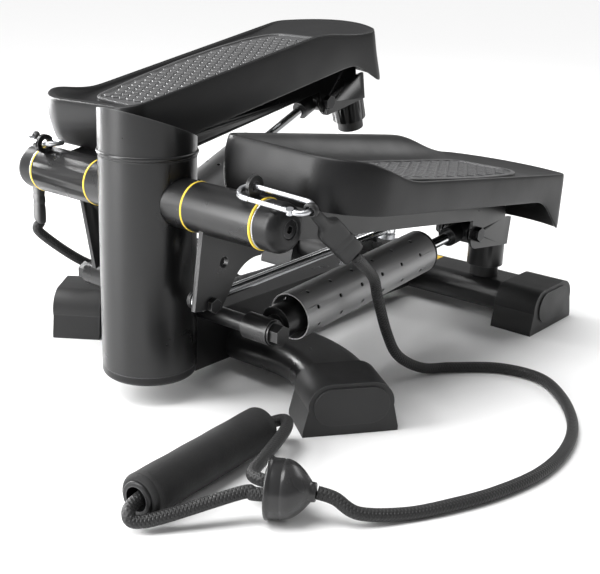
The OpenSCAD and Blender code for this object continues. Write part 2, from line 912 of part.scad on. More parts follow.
// Thin cover drilled with rings of vent holes
module damper_cover(side) {
    color(cover_grey) at_damper(side)
        difference() {
            y_cyl(cover_r, cover_y0, cover_y1);
            y_cyl(cover_r - cover_t, cover_y0 - 1, cover_y1 + 1);
            for (ring = [0 : 5], turn = [0 : 45 : 135])
                translate([0, cover_y0 + 15 + ring * hole_pitch, 0])
                    rotate([0, turn + 20, 0]) cylinder(r = 1.75, h = 3 * cover_r, center = true, $fn = 24);
        }
}

// End ring that closes the cover and guides the rod
module damper_gland(side) {
    edge = 4;
    color(rubber) at_damper(side)
        difference() {
            union() {
                y_cyl(cover_r - cover_t - seat, gland_y, cover_y1);
                y_cyl(cover_r, cover_y1, cover_y1 + 3);
                y_cyl(cover_r - edge, cover_y1 + 3, cover_y1 + 3 + edge);
            }
            y_cyl(rod_r + run, gland_y - 1, cover_y1 + 20);
        }
}

function piston_y(side) = damper_len(left) - 140 + damper_len(side) - damper_len(left);
module damper_rod(side) {
    color(steel) at_damper(side)
        y_cyl(rod_r, piston_y(side) - 2, damper_len(side) - 14);
}
module damper_piston(side) {
    color("#8a8d90") at_damper(side)
        difference() {
            y_cyl(bore_r - run, piston_y(side), piston_y(side) + 10);
            y_cyl(rod_r + seat, 0, far);
        }
}
// Rod end: its bore is wider than the bolt, because the linkage is left open here
module rod_eye(side) {
    reach = damper_len(side);
    half = 13;
    color(rubber) at_damper(side)
        difference() {
            union() {
                translate([0, reach, 0]) x_cyl(10.3, -half, half);
                y_cyl(9, reach - 24, reach);
            }
            translate([0, reach, 0]) x_cyl(pin_r + open_clear, -half - 1, half + 1);
            y_cyl(rod_r + seat, reach - 30, reach - 13.9);
        }
}

// ---------------------------------------------------------------- pull cords

// Each carabiner and cuff with its pedal at rest: left, then right, in degrees
hook_yaw = [80, 68];    // outwards from straight back
hook_drop = [6, 5];     // below level
hook_roll = [19, 0];    // about its own length
cuff_yaw = [-6, 68];
cuff_drop = [37, 90];
cuff_roll = [24, 0];
cuff_len = 76;
cuff_w = 20;
cuff_t = 8;
gate_y0 = 12;
gate_y1 = 42;
gate_boss_r = 2.8;

function which(side) = side > 0 ? 0 : 1;
function lug_y(side) = pedal_y(lug_u, lug_w, tilt_of(side));
function lug_z(side) = pedal_z(lug_u, lug_w, tilt_of(side));
// Unit direction at yaw degrees outwards from +Y and drop degrees below level
function heading(yaw, drop) = [cos(drop) * sin(yaw), cos(drop) * cos(yaw), -sin(drop)];
// Point of the wire that rests in the lug, in the hook's own frame: there the wire runs close to X
function hook_hold(side) =
    let (yaw = hook_yaw[which(side)])
    [-side * hook_r * sin(yaw), hook_r * (1 - cos(yaw)), 0];
// Cross direction of the hook, along its wire at the far end
function hook_cross(side) =
    let (i = which(side), across = [cos(hook_yaw[i]), -sin(hook_yaw[i]), 0])
    across * cos(hook_roll[i]) - sin(hook_roll[i]) * cross(across, heading(hook_yaw[i], hook_drop[i]));
function hook_end(side) =
    let (
        i = which(side),
        hold = hook_hold(side),
        ahead = heading(hook_yaw[i], hook_drop[i])
    )
    [lug_x, lug_y(side), lug_z(side)]
    + (2 * hook_r + hook_len - hold.y) * ahead - hold.x * hook_cross(side);

// Frame at the hook's near end with +Y along the hook
module at_hook(side) {
    i = which(side);
    on_side(side)
        translate([lug_x, lug_y(side), lug_z(side)])
            rotate([0, 0, -hook_yaw[i]]) rotate([-hook_drop[i], 0, 0]) rotate([0, hook_roll[i], 0])
                translate(-hook_hold(side)) children();
}
// Frame at the cuff's eye with +Y down the cuff
module at_cuff(side) {
    i = which(side);
    on_side(side)
        translate(hook_end(side))
            rotate([0, 0, -cuff_yaw[i]]) rotate([-cuff_drop[i], 0, 0])
                rotate([0, cuff_roll[i], 0]) children();
}

// Snap hook: a wire oval, open on one side where the gate sits
module carabiner(side) {
    far_y = hook_r + hook_len;
    color(steel) at_hook(side) {
        for (turn = [0, 180])
            translate([0, turn > 0 ? hook_r : far_y, 0]) rotate([0, 0, turn])
                rotate_extrude(angle = 180) translate([hook_r, 0]) circle(r = wire_r, $fn = 32);
        translate([-hook_r, 0, 0]) y_cyl(wire_r, hook_r, far_y);
        translate([hook_r, 0, 0]) y_cyl(wire_r, hook_r, gate_y0 - 0.5);
        translate([hook_r, 0, 0]) y_cyl(wire_r, gate_y1 + 2 * gate_boss_r + 0.4, far_y);
    }
}
// Gate with a round boss at its hinge end
module carabiner_gate(side) {
    color(steel) at_hook(side)
        translate([hook_r, 0, 0]) {
            y_cyl(wire_r - 0.2, gate_y0, gate_y1 + 1);
            translate([0, gate_y1 + gate_boss_r, 0]) z_cyl(gate_boss_r, -wire_r, wire_r);
        }
}

// Moulded cuff: an eye round the hook's wire, a neck and a flat block the cord leaves from
module cord_cuff(side) {
    eye_r = 5.8;
    eye_half = 2.5;
    block_y = 24;
    color(rubber)
        difference() {
            union() {
                at_hook(side) translate([0, 2 * hook_r + hook_len, 0]) x_cyl(eye_r, -eye_half, eye_half);
                at_cuff(side) {
                    y_cyl(4.5, 2.5, block_y + 2);
                    block([-cuff_t / 2, block_y, -cuff_w / 2], [cuff_t / 2, cuff_len, cuff_w / 2]);
                }
            }
            at_hook(side) translate([0, 2 * hook_r + hook_len, 0]) x_cyl(wire_r + 1.4, -9, 9);
        }
}

// End of each cuff, where its cord starts
function cuff_tip(side, ahead) =
    hook_end(side) + (cuff_len + ahead) * heading(cuff_yaw[which(side)], cuff_drop[which(side)]);
cord_lie = cord_r + 0.3;
end_gap = 1.2;   // between a cord's end and the face it enters
slack_gap = 6;   // below the right cuff, which swings over its cord's end

// Grips and stoppers on the floor: place of the grip's middle, its turn, the stopper's rim and turn
grip_at = [[139.5, -80], [80, 258]];
grip_turn = [4.8, 2];
stop_at = [[202, -86], [122, 209]];
stop_turn = [-59, -90];
stop_z = stopper_r + 0.4;

// Left cord, from the cuff down to the floor, round in a wide loop to the stopper
function left_path() = [
    cuff_tip(left, end_gap), cuff_tip(left, 12),
    [138, 113, 103], [137, 123, 82], [139, 137, 48], [142, 152, 25],
    [149, 180, 8], [163, 206, cord_lie], [194, 234, cord_lie], [231, 239, cord_lie],
    [264, 214, cord_lie], [293, 173, cord_lie], [308, 129, cord_lie], [313, 83, cord_lie],
    [302, 38, cord_lie], [281, -4, cord_lie],
    stop_end(left, 26, 13), stop_end(left, 11, 1), stop_end(left, end_gap),
];
// Right cord, mirrored: down beside the frame, over the front bar, to the floor behind it
function right_path() = [
    cuff_tip(right, slack_gap), cuff_tip(right, 12), [158, 36, 82], [146, 58, 62], [136, 88, 52],
    [130, 122, 44], [136, 146, 20], [154, 164, 7], [170, 186, cord_lie],
    stop_end(right, 20, 7), stop_end(right, 9, 1), stop_end(right, end_gap),
];
// Point ahead of the stopper's neck, lowered by drop
function stop_dir(side) = let (t = stop_turn[which(side)]) [-sin(t), cos(t), 0];
function stop_end(side, ahead, drop = 0) =
    let (p = stop_at[which(side)])
    [p.x, p.y, stop_z - drop] + (stopper_len + ahead) * stop_dir(side);
function rim_point(side, across, back) =
    let (p = stop_at[which(side)], d = stop_dir(side))
    [p.x, p.y, stop_z] + across * [-d.y, d.x, 0] - back * d;
function grip_point(side, along) =
    let (p = grip_at[which(side)], t = grip_turn[which(side)])
    [p.x - along * sin(t), p.y + along * cos(t), grip_d / 2 + 0.3];
// Cord through the grip's core, from its front end to its rear end
function through_grip(side) =
    let (half = grip_len / 2)
    [
        grip_point(side, -half - 4) + [14, -2, -8],
        grip_point(side, -half - 12) + [3, 0, -4],
        grip_point(side, -half + 6), grip_point(side, 0), grip_point(side, half - 6),
        grip_point(side, half + 14) + [8, 2, 2],
    ];
// Loops from each stopper's face, through the grip and back
function left_loop() = concat(
    [rim_point(left, -10, end_gap), rim_point(left, -10, 8), rim_point(left, -11, 16)],
    through_grip(left),
    [grip_point(left, grip_len / 2 + 2) + [26, 0, 6],
        rim_point(left, 9, 15), rim_point(left, 9, 7), rim_point(left, 9, end_gap)]
);
function right_loop() = concat(
    [rim_point(right, -10, end_gap), rim_point(right, -10, 6), rim_point(right, -10, 11)],
    through_grip(right),
    [grip_point(right, grip_len / 2 - 4) + [23, 0, -8], grip_point(right, 0) + [23, 0, -11.5],
        rim_point(right, 10, 14), rim_point(right, 10, 7), rim_point(right, 10, end_gap)]
);

module cords() {
    color(cord_black) {
        sweep(spline(left_path(), 6), cord_r);
        sweep(spline(left_loop(), 6), cord_r);
        on_side(right) {
            sweep(spline(right_path(), 6), cord_r);
            sweep(spline(right_loop(), 6), cord_r);
        }
    }
}

// Bell-shaped stopper, wide rim towards the grip
module cord_stoppers() {
    color(rubber)
        for (side = [left, right])
            on_side(side)
                translate([stop_at[which(side)].x, stop_at[which(side)].y, stop_z])
                    rotate([0, 0, stop_turn[which(side)]]) rotate([-90, 0, 0])
                        rotate_extrude() {
                            square([stopper_r, 9]);
                            difference() {
                                translate([0, 9]) circle(r = stopper_r);
                                translate([-far, 9 - far]) square([far, 2 * far]);
                                translate([0, 9 - far]) square([far, far]);
                            }
                            square([6.5, stopper_len]);
                        }
}

module at_grip(side) {
    on_side(side)
        translate([grip_at[which(side)].x, grip_at[which(side)].y, grip_d / 2 + 0.3])
            rotate([0, 0, grip_turn[which(side)]]) children();
}
module grip_core(side) {
    half = grip_len / 2 + 2;
    color("#3a3a3a") at_grip(side)
        difference() {
            y_cyl(core_r, -half, half);
            y_cyl(core_in_r, -half - 1, half + 1);
        }
}
module grip_foam(side) {
    edge = 5;
    half = grip_len / 2;
    color(rubber) at_grip(side)
        difference() {
            union() {
                y_cyl(grip_d / 2, -half + edge, half - edge);
                y_cyl(grip_d / 2 - 2, -half, half);
            }
            y_cyl(core_r + seat, -half - 1, half + 1);
        }
}

// ---------------------------------------------------------------- nodes

column();
column_base_cap();
console_housing();
display_window();
console_board();
reset_button();
axle();
thrust_washers();
axle_end_caps();
axle_end_bolts();
lower_shaft();
shaft_nuts();
main_beam();
front_crossbar();
rear_crossbar();
front_feet();
rear_feet();
rear_label();
rocker();
rocker_bolt();
link(left);  // link_left
link(right);  // link_right
pedal_arm(left);  // pedal_arm_left
pedal_arm(right);  // pedal_arm_right
pedal_bushes(left);  // pedal_bushes_left
pedal_bushes(right);  // pedal_bushes_right
pedal_tray(left);  // pedal_tray_left
pedal_tray(right);  // pedal_tray_right
tread_pad(left);  // tread_pad_left
tread_pad(right);  // tread_pad_right
tray_bolts(left);  // tray_bolts_left
tray_bolts(right);  // tray_bolts_right
bumper(left);  // bumper_left
bumper(right);  // bumper_right
pivot_bolts(left);  // pivot_bolts_left
pivot_bolts(right);  // pivot_bolts_right
damper_tube(left);  // damper_tube_left
damper_tube(right);  // damper_tube_right
damper_cover(left);  // damper_cover_left
damper_cover(right);  // damper_cover_right
damper_gland(left);  // damper_gland_left
damper_gland(right);  // damper_gland_right
damper_rod(left);  // damper_rod_left
damper_rod(right);  // damper_rod_right
damper_piston(left);  // damper_piston_left
damper_piston(right);  // damper_piston_right
rod_eye(left);  // rod_eye_left
rod_eye(right);  // rod_eye_right
carabiner(left);  // carabiner_left
carabiner(right);  // carabiner_right
carabiner_gate(left);  // carabiner_gate_left
carabiner_gate(right);  // carabiner_gate_right
cord_cuff(left);  // cord_cuff_left
cord_cuff(right);  // cord_cuff_right
cords();
cord_stoppers();
grip_core(left);  // grip_core_left
grip_core(right);  // grip_core_right
grip_foam(left);  // grip_foam_left
grip_foam(right);  // grip_foam_right
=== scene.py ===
"""Looks of a low twin-pedal stepper on its CAD frame: metres, X to the user's left, Y to the heel, Z up."""
import json
import math
import random

import bmesh
import bpy
from mathutils import Matrix, Vector


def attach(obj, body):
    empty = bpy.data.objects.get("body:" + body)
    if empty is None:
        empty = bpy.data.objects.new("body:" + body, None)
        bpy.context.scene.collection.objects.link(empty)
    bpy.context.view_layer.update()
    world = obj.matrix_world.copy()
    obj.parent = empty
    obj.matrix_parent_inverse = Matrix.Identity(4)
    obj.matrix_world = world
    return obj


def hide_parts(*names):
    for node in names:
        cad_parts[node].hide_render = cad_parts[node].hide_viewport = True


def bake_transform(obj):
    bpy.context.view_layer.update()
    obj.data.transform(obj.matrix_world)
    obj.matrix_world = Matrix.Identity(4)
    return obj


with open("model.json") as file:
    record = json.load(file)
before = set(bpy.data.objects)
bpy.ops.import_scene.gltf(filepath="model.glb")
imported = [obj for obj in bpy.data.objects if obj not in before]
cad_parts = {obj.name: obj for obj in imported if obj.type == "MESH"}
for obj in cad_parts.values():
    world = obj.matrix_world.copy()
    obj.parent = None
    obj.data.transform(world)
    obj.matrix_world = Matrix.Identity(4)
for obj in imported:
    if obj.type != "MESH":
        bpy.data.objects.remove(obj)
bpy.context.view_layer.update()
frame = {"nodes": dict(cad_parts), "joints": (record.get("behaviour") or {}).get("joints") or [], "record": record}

MM = 0.001
SIDES = {"left": 1, "right": -1}
PIVOT_Z = 165
TILT = {"left": -7.2, "right": 10.8}
random.seed(7)


# ---------------------------------------------------------------- node materials

def node(tree, kind, links=None, **values):
    """A shader node with its settings, its input values and the sockets that feed it."""
    made = tree.nodes.new("ShaderNode" + kind)
    for key, value in values.items():
        setattr(made, key, value)
    for socket, value in (links or {}).items():
        if isinstance(value, bpy.types.NodeSocket):
            tree.links.new(value, made.inputs[socket])
        else:
            made.inputs[socket].default_value = value
    return made


def math_node(tree, operation, *inputs):
    links = {i: value for i, value in enumerate(inputs)}
    return node(tree, "Math", links, operation=operation).outputs[0]


def remap(tree, value, low, high, out_low, out_high):
    links = {"Value": value, "From Min": low, "From Max": high, "To Min": out_low, "To Max": out_high}
    return node(tree, "MapRange", links).outputs[0]


def noise(tree, where, scale, detail=3.0, stretch=(1, 1, 1)):
    """Noise in metres; stretch above 1 shortens the pattern along that axis."""
    spread = node(tree, "Mapping", {"Vector": where, "Scale": stretch}).outputs[0]
    links = {"Vector": spread, "Scale": scale, "Detail": detail}
    return node(tree, "TexNoise", links).outputs["Fac"]


def mix_color(tree, factor, first, second):
    made = node(tree, "Mix", {"Factor": factor}, data_type="RGBA")
    for slot, value in ((6, first), (7, second)):
        if isinstance(value, bpy.types.NodeSocket):
            tree.links.new(value, made.inputs[slot])
        else:
            made.inputs[slot].default_value = (*value, 1)
    return made.outputs[2]


def edge_highlight_mask(tree, radius):
    """1 along sharp edges, where a painted highlight lightens a surface, and 0 on its faces."""
    soft = node(tree, "Bevel", {"Radius": radius}, samples=4).outputs[0]
    flat = node(tree, "NewGeometry").outputs["Normal"]
    dot = node(tree, "VectorMath", {0: soft, 1: flat}, operation="DOT_PRODUCT").outputs["Value"]
    return remap(tree, dot, 0.995, 0.86, 0.0, 1.0)


def material(name, color, rough, metallic=0.0, grain=1800, bump=0.1, depth=0.00012, mottle=0.12,
             edge=None, stretch=(1, 1, 1), relief=None, sheen=0.0, specular=0.5):
    """A surface with colour mottling, uneven roughness, fine grain in its bump and lighter edges that are a
    painted highlight.
    """
    made = bpy.data.materials.new(name)
    made.use_nodes = True
    tree = made.node_tree
    shader = tree.nodes["Principled BSDF"]
    where = node(tree, "TexCoord").outputs["Object"]
    cloud = noise(tree, where, 28, 4.0)
    fine = noise(tree, where, grain, 2.0, stretch)
    dark = [c * (1 - mottle) for c in color]
    pale = [c * (1 + mottle) for c in color]
    tint = mix_color(tree, cloud, dark, pale)
    if edge:
        # Painted highlight: sharp edges are mixed towards a lighter colour.
        edge_highlight_amount = math_node(tree, "MULTIPLY", edge_highlight_mask(tree, 0.0012), remap(tree, cloud, 0.35, 0.6, 0.5, 1.0))
        tint = mix_color(tree, edge_highlight_amount, tint, edge)
    tree.links.new(tint, shader.inputs["Base Color"])
    tree.links.new(remap(tree, cloud, 0.3, 0.7, rough * 0.86, rough * 1.16), shader.inputs["Roughness"])
    shader.inputs["Metallic"].default_value = metallic
    shader.inputs["Sheen Weight"].default_value = sheen
    shader.inputs["Specular IOR Level"].default_value = specular
    height = fine
    if relief:
        height = math_node(tree, "MULTIPLY_ADD", fine, 0.15, relief(tree, where))
    bumped = node(tree, "Bump", {"Strength": bump, "Distance": depth, "Height": height}).outputs[0]
    tree.links.new(bumped, shader.inputs["Normal"])
    return made


def moulded_relief(tree, where):
    """Leathery cells of a moulded plastic skin."""
    return node(tree, "TexVoronoi", {"Vector": where, "Scale": 900}, feature="SMOOTH_F1").outputs["Distance"]


def foam_relief(tree, where):
    """Open pores of foam."""
    pores = node(tree, "TexVoronoi", {"Vector": where, "Scale": 700}).outputs["Distance"]
    return remap(tree, pores, 0.0, 0.45, 0.0, 1.0)


def braid_relief(tree, where):
    """Two sets of crossing strands, from the cord's own map: U runs along it in turns, V around it."""
    uv = node(tree, "UVMap").outputs[0]
    split = node(tree, "SeparateXYZ", {"Vector": uv}).outputs
    around = math_node(tree, "MULTIPLY", split["Y"], 6.0)
    ways = []
    for turn in (1.0, -1.0):
        phase = math_node(tree, "MULTIPLY_ADD", split["X"], turn, around)
        wave = math_node(tree, "SINE", math_node(tree, "MULTIPLY", phase, math.pi))
        ways.append(math_node(tree, "ABSOLUTE", wave))
    return math_node(tree, "MAXIMUM", *ways)


# Painted highlight: each finish's edge colour lightens its sharp edges.
EDGE_HIGHLIGHT_GREY = (0.16, 0.16, 0.165)
LOOKS = {
    "black_paint": material("powder coat", (0.006, 0.006, 0.0063), 0.3, grain=1500, bump=0.22,
                            edge=(0.07, 0.07, 0.072)),
    "black_plastic": material("moulded plastic", (0.0095, 0.0095, 0.01), 0.38, relief=moulded_relief,
                              bump=0.3, edge=EDGE_HIGHLIGHT_GREY, specular=0.28),
    "black_rubber": material("rubber", (0.008, 0.008, 0.0083), 0.5, grain=1200, bump=0.3,
                             edge=(0.04, 0.04, 0.042)),
    "bare_steel": material("zinc plate", (0.6, 0.61, 0.63), 0.3, metallic=1.0, grain=700, bump=0.2,
                           stretch=(1, 6, 6)),
    "chrome": material("chrome", (0.78, 0.79, 0.8), 0.1, metallic=1.0, grain=90, bump=0.03, mottle=0.03),
    "black_bolt": material("black oxide", (0.02, 0.02, 0.021), 0.3, metallic=0.6, grain=900, bump=0.1,
                           edge=(0.12, 0.12, 0.12)),
    "grey_cover": material("satin grey", (0.36, 0.36, 0.363), 0.38, metallic=0.5, grain=1500, bump=0.2,
                           edge=(0.45, 0.45, 0.45)),
    "yellow_ring": material("yellow nylon", (0.86, 0.62, 0.05), 0.42, grain=1500, bump=0.1),
    "screen": material("screen glass", (0.008, 0.01, 0.013), 0.08, grain=60, bump=0.02),
    "board_green": material("board lacquer", (0.02, 0.1, 0.045), 0.35, grain=400, bump=0.1),
    "cord_fabric": material("braided cord", (0.006, 0.006, 0.0063), 0.55, grain=2500, bump=0.9,
                            depth=0.0006, relief=braid_relief, sheen=0.05),
    "grip_foam": material("foam", (0.006, 0.006, 0.0063), 0.8, relief=foam_relief, bump=0.5,
                          depth=0.0003, sheen=0.04),
    "label_yellow": material("printed film", (0.85, 0.55, 0.04), 0.3, grain=300, bump=0.05),
}
# Painted highlight: these finishes' edge colours also lighten their sharp edges.
STOPPER = material("glossy rubber", (0.022, 0.022, 0.0225), 0.24, grain=900, bump=0.08,
                   edge=(0.05, 0.05, 0.05))
TREAD = material("tread rubber", (0.06, 0.06, 0.061), 0.36, grain=1500, bump=0.25,
                 edge=(0.1, 0.1, 0.105))


def paint_frame():
    """Every CAD node takes its finish, and soft edges that catch the light."""
    for part in frame["record"]["subparts"]:
        shape = frame["nodes"][part["node"]]
        shape.data.materials.clear()
        shape.data.materials.append(LOOKS[part["material_slot"]])
        for face in shape.data.polygons:
            face.use_smooth = True
        weld = shape.modifiers.new("weld", "WELD")
        weld.merge_threshold = 0.000001
        bevel = shape.modifiers.new("bevel", "BEVEL")
        bevel.width = 0.0006
        bevel.segments = 2
        bevel.limit_method = "ANGLE"
        bevel.angle_limit = math.radians(38)
        shape.modifiers.new("flat faces", "WEIGHTED_NORMAL")


# ---------------------------------------------------------------- mesh helpers

def ease(t):
    t = min(max(t, 0.0), 1.0)
    return t * t * (3 - 2 * t)


def blend_values(low, high, part):
    return low + (high - low) * part


def piece(name, mesh_faces, finish, place=Matrix.Identity(4), smooth=True):
    """An object from (vertices in mm, faces), placed by a matrix in mm."""
    verts, faces = mesh_faces
    mesh = bpy.data.meshes.new(name)
    mesh.from_pydata([place @ Vector(v) * MM for v in verts], [], faces)
    made = bmesh.new()
    made.from_mesh(mesh)
    bmesh.ops.recalc_face_normals(made, faces=made.faces)
    made.to_mesh(mesh)
    made.free()
    for face in mesh.polygons:
        face.use_smooth = smooth
    mesh.materials.append(finish)
    shape = bpy.data.objects.new(name, mesh)
    bpy.context.scene.collection.objects.link(shape)
    return shape


def loft(rings, closed_ends=True):
    """Skin over rings that have the same number of points, with fans at both ends."""
    n = len(rings[0])
    verts = [p for ring in rings for p in ring]
    faces = []
    for r in range(len(rings) - 1):
        for k in range(n):
            m = (k + 1) % n
            faces.append((r * n + k, (r + 1) * n + k, (r + 1) * n + m, r * n + m))
    if closed_ends:
        for ring, start in ((rings[0], 0), (rings[-1], (len(rings) - 1) * n)):
            centre = sum((Vector(p) for p in ring), Vector()) / n
            verts.append(tuple(centre))
            tip = len(verts) - 1
            faces += [(start + k, start + (k + 1) % n, tip) for k in range(n)]
    return verts, faces


def full_turn(steps):
    return [2 * math.pi * k / steps for k in range(steps)]


def lathe(profile, closed_ends=True, steps=64):
    """Skin of a profile of (radius, along) turned about Y."""
    rings = [
        [(radius * math.cos(a), along, radius * math.sin(a)) for a in full_turn(steps)]
        for radius, along in profile
    ]
    return loft(rings, closed_ends)


def torus(radius, thick, steps=48, sides=16):
    """Ring about Y with an oval section, thick to each side and twice that along Y."""
    section = [(radius + thick * math.cos(a), 2 * thick * math.sin(a)) for a in full_turn(sides)]
    return lathe(section + section[:1], closed_ends=False, steps=steps)


def join_parts(*parts):
    """Several (vertices, faces) as one."""
    verts, faces = [], []
    for more_verts, more_faces in parts:
        start = len(verts)
        verts += more_verts
        faces += [tuple(i + start for i in face) for face in more_faces]
    return verts, faces


def subdivide(shape, levels=1):
    rounding = shape.modifiers.new("rounding", "SUBSURF")
    rounding.levels = levels
    rounding.render_levels = levels


def soft_edges(shape, width, segments=2, angle=35):
    bevel = shape.modifiers.new("bevel", "BEVEL")
    bevel.width = width * MM
    bevel.segments = segments
    bevel.limit_method = "ANGLE"
    bevel.angle_limit = math.radians(angle)
    shape.modifiers.new("flat faces", "WEIGHTED_NORMAL")


def pedal_place(side):
    """From a pedal's own frame (across, rearward, upward) to the world, mirrored for the right side."""
    lift = Matrix.Translation((0, 0, PIVOT_Z)) @ Matrix.Rotation(math.radians(TILT[side]), 4, "X")
    return lift @ Matrix.Diagonal((SIDES[side], 1, 1, 1))


# ---------------------------------------------------------------- column

COLUMN_R, COLLAR_R, SEAM_Z = 38, 38.8, 198


def build_seam():
    """Shadow line under the housing's collar, and a bead on its edge."""
    upright = Matrix.Rotation(math.radians(90), 4, "X")
    line = piece("seam_line", torus(COLUMN_R - 0.2, 0.5), LOOKS["black_rubber"],
                 Matrix.Translation((0, 0, SEAM_Z - 1)) @ upright)
    bead = piece("seam_bead", torus(COLLAR_R - 0.3, 0.8), LOOKS["black_paint"],
                 Matrix.Translation((0, 0, SEAM_Z + 1.4)) @ upright)
    for shape, slot in ((line, "black_rubber"), (bead, "black_paint")):
        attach(shape, "frame")


# ---------------------------------------------------------------- pedal trays

TRAY_IN, TRAY_OUT = 40, 176
TOE, HEEL = 26, 391
HEEL_X, HEEL_R = 108, 105
TOE_IN_R, TOE_OUT_R, HEEL_CORNER_R = 20, 48, 20
FLOOR_W = 33
UNDER_W = 29


def arc(cx, cy, radius, a0, a1, n, ends=True):
    picks = range(n + 1) if ends else range(1, n + 1)
    total = n if ends else n + 1
    angles = [math.radians(a0 + (a1 - a0) * i / total) for i in picks]
    return [(cx + radius * math.cos(a), cy + radius * math.sin(a)) for a in angles]


def between(p, q, n):
    return [(p[0] + (q[0] - p[0]) * i / (n + 1), p[1] + (q[1] - p[1]) * i / (n + 1)) for i in range(1, n + 1)]


def tray_edge(inner, outer, toe, heel):
    """The tray's outline, moved inwards at the inner side, outer side, toe and heel."""
    x0, x1, u0 = TRAY_IN + inner, TRAY_OUT - outer, TOE + toe
    bow_u = HEEL - heel - HEEL_R
    r_in = max(TOE_IN_R - min(inner, toe), 4)
    r_out = max(TOE_OUT_R - min(outer, toe), 6)
    r_heel = max(HEEL_CORNER_R - max(inner, outer, heel), 4)

    def heel_corner(x):
        return x, bow_u + math.sqrt((HEEL_R - r_heel) ** 2 - (x - HEEL_X) ** 2)

    c_out, c_in = heel_corner(x1 - r_heel), heel_corner(x0 + r_heel)
    a_out, a_in = (math.degrees(math.atan2(c[1] - bow_u, c[0] - HEEL_X)) for c in (c_out, c_in))
    corner, side = 10, 18
    return (
        arc(x0 + r_in, u0 + r_in, r_in, 180, 270, corner)
        + arc(x1 - r_out, u0 + r_out, r_out, 270, 360, corner)
        + between((x1, u0 + r_out), (x1, c_out[1]), side)
        + arc(*c_out, r_heel, 0, a_out, corner)
        + arc(HEEL_X, bow_u, HEEL_R, a_out, a_in, corner, ends=False)
        + arc(*c_in, r_heel, a_in, 180, corner)
        + between((x0, c_in[1]), (x0, u0 + r_in), side)
    )


def rim_height(x, u):
    """The rim is higher at the toe, and its inner side stays high further back."""
    inner = 37.5 + 16.5 * (1 - ease((u - 265) / 95))
    outer = 36.3 + 14 * (1 - ease((u - 40) / 66))
    return blend_values(inner, outer, ease((x - TRAY_IN - 8) / (TRAY_OUT - TRAY_IN - 16)))


def skirt_height(u):
    """The skirt's lower edge, which drops behind the arm."""
    return 11 - 27.5 * ease((u - 318) / 48)


def build_tray(side):
    """Moulded shell from under its floor, down the skirt, up the face, over the rim to the floor."""
    base = tray_edge(0, 0, 0, 0)
    rim = [rim_height(*p) for p in base]
    skirt = [skirt_height(p[1]) for p in base]

    def ring(insets, heights):
        return [(*p, w) for p, w in zip(tray_edge(*insets), heights)]

    def face(part):
        return [blend_values(s, r, part) for s, r in zip(skirt, rim)]

    def bowl(part):
        return [blend_values(FLOOR_W, r, part) for r in rim]

    rings = [
        ring((24, 24, 30, 30), [UNDER_W] * len(base)),
        ring((7, 6, 8, 6), [UNDER_W] * len(base)),
        ring((5.5, 5, 6, 3), [min(w + 12, UNDER_W - 2) for w in skirt]),
        ring((4.6, 4.6, 5.4, -2.2), [w + 1 for w in skirt]),
        ring((4, 4, 5, -3), skirt),
        ring((2.6, 2.6, 3.6, -4.6), skirt),
        ring((2, 2, 3, -5), [w + 0.8 for w in skirt]),
        ring((0.8, 0.8, 1, -3), face(0.25)),
        ring((0, 0, 0, 0), face(0.55)),
        ring((0.2, 0.2, 1, 0.6), face(0.85)),
        ring((0.8, 0.8, 2.4, 1.2), [w - 0.9 for w in rim]),
        ring((1.5, 1.5, 4, 2), rim),
        ring((3.2, 3.2, 7, 4), rim),
        ring((4, 4, 9, 5), [w - 0.7 for w in rim]),
        ring((5.2, 4.8, 11, 9), bowl(0.84)),
        ring((8, 6.5, 14, 16), bowl(0.6)),
        ring((18, 7.5, 24, 36), bowl(0.2)),
        ring((27, 8.4, 33, 50), bowl(0.04)),
        ring((32, 9, 38, 58), [FLOOR_W] * len(base)),
        ring((36, 13, 44, 64), [FLOOR_W] * len(base)),
    ]
    shape = piece(f"tray_{side}", loft(rings), LOOKS["black_plastic"], pedal_place(side))
    subdivide(shape, 2)
    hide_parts(f"pedal_tray_{side}")
    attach(shape, f"pedal_{side}")
    build_tray_ribs(side)


def build_tray_ribs(side):
    """Cross ribs on which the tray rests on the arm."""
    half, arm_top = 5, 10.6
    blocks = [box_mesh((70, u - half, arm_top), (136, u + half, UNDER_W)) for u in (110, 190, 270, 340)]
    shape = piece(f"tray_ribs_{side}", join_parts(*blocks), LOOKS["black_plastic"], pedal_place(side), False)
    soft_edges(shape, 1.0)
    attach(shape, f"pedal_{side}")


def box_mesh(low, high):
    """Box between two corners."""
    verts = [(x, y, z) for x in (low[0], high[0]) for y in (low[1], high[1]) for z in (low[2], high[2])]
    faces = [(0, 1, 3, 2), (4, 6, 7, 5), (0, 4, 5, 1), (2, 3, 7, 6), (0, 2, 6, 4), (1, 5, 7, 3)]
    return verts, faces


# ---------------------------------------------------------------- tread pads

PAD_CORNERS = [(75, 76), (152, 82), (161, 151), (165, 209), (163, 258), (156, 301), (140, 326), (75, 326)]
PAD_ROUND = 14
CELL_PITCH = 9.6
CELL_R = 5.05
CELL_TOP = 2.5
CELL_SLOPE = 0.25
CELL_ROWS, CELL_COLUMNS = 30, 11
FIRST_CELL = (80, 86)
FIELD_MARGIN = 9.5
PAD_FLOOR = 1.2


def rounded(corners, radius, steps=6):
    """A polygon with each corner cut back and turned on a smooth curve."""
    points = []
    for i, here in enumerate(corners):
        before, here, after = (Vector(corners[k % len(corners)]) for k in (i - 1, i, i + 1))
        to_before, to_after = before - here, after - here
        reach = min(radius, to_before.length / 2.1, to_after.length / 2.1)
        start = here + to_before.normalized() * reach
        end = here + to_after.normalized() * reach
        for k in range(steps + 1):
            t = k / steps
            points.append(tuple(start * (1 - t) ** 2 + here * 2 * t * (1 - t) + end * t * t))
    return points


def inset(points, distance):
    """The outline moved inwards along its own normals; the points run anticlockwise."""
    moved = []
    for i, here in enumerate(points):
        before, after = Vector(points[i - 1]), Vector(points[(i + 1) % len(points)])
        along = (after - before).normalized()
        moved.append((here[0] - along.y * distance, here[1] + along.x * distance))
    return moved


